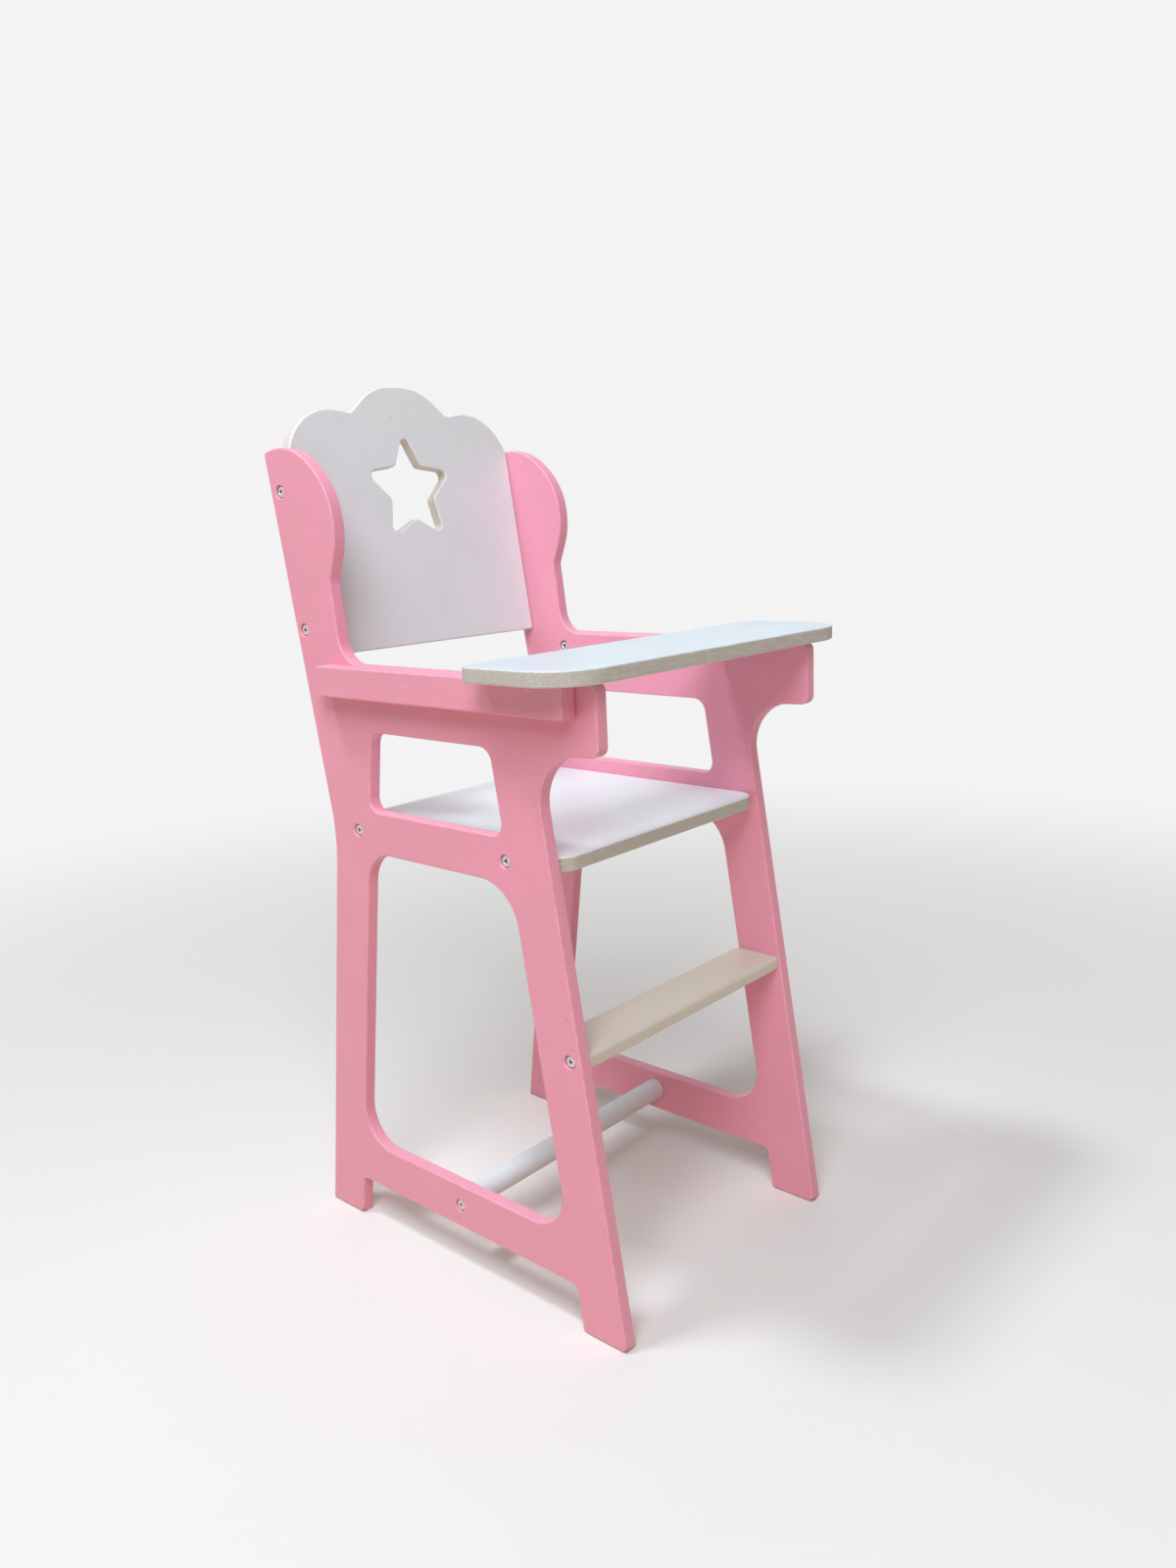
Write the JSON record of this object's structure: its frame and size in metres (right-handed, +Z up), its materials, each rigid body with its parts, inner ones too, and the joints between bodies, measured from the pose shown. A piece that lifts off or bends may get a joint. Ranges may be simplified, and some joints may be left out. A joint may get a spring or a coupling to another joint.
{
  "type": "doll high chair",
  "caption": "Painted board high chair for a doll: two cut-out side panels, a scalloped backrest with a star hole, a seat, a footrest and a tray that swings up over the wings.",
  "frame": {"origin": "on the floor, in the middle of the chair's box with the tray down, between the side panels", "axes": "+Z up, +X towards the side seen at the right from the front, -Y towards the front, where the tray is"},
  "size_m": [0.2832, 0.291, 0.5844],
  "materials": {
    "pink_paint": "satin pink paint",
    "white_paint": "satin white paint",
    "zinc_steel": "bright zinc plating",
    "beech": "bare wood"
  },
  "bodies": {
    "chair": {"left_side_panel": "pink_paint", "right_side_panel": "pink_paint", "backrest": "white_paint", "seat": "white_paint", "footrest": "white_paint", "crossbar": "white_paint", "left_backrest_lower_screw": "zinc_steel", "left_backrest_upper_screw": "zinc_steel", "left_seat_rear_screw": "zinc_steel", "left_seat_front_screw": "zinc_steel", "left_footrest_screw": "zinc_steel", "left_crossbar_screw": "zinc_steel", "left_footrest_dowel": "beech", "right_backrest_lower_screw": "zinc_steel", "right_backrest_upper_screw": "zinc_steel", "right_seat_rear_screw": "zinc_steel", "right_seat_front_screw": "zinc_steel", "right_footrest_screw": "zinc_steel", "right_crossbar_screw": "zinc_steel", "right_footrest_dowel": "beech"},
    "tray": {"tray_board": "white_paint", "left_tray_arm": "pink_paint", "right_tray_arm": "pink_paint", "left_tray_pivot_screw": "zinc_steel", "left_tray_front_dowel": "beech", "left_tray_rear_dowel": "beech", "right_tray_pivot_screw": "zinc_steel", "right_tray_front_dowel": "beech", "right_tray_rear_dowel": "beech"}
  },
  "joints": [
    {"name": "tray_swing", "type": "hinge", "parent": "chair", "child": "tray", "pos_m": [0, 0.07935, 0.39275], "axis": [-1, 0, 0], "range_deg": [0, 93.5]}
  ]
}
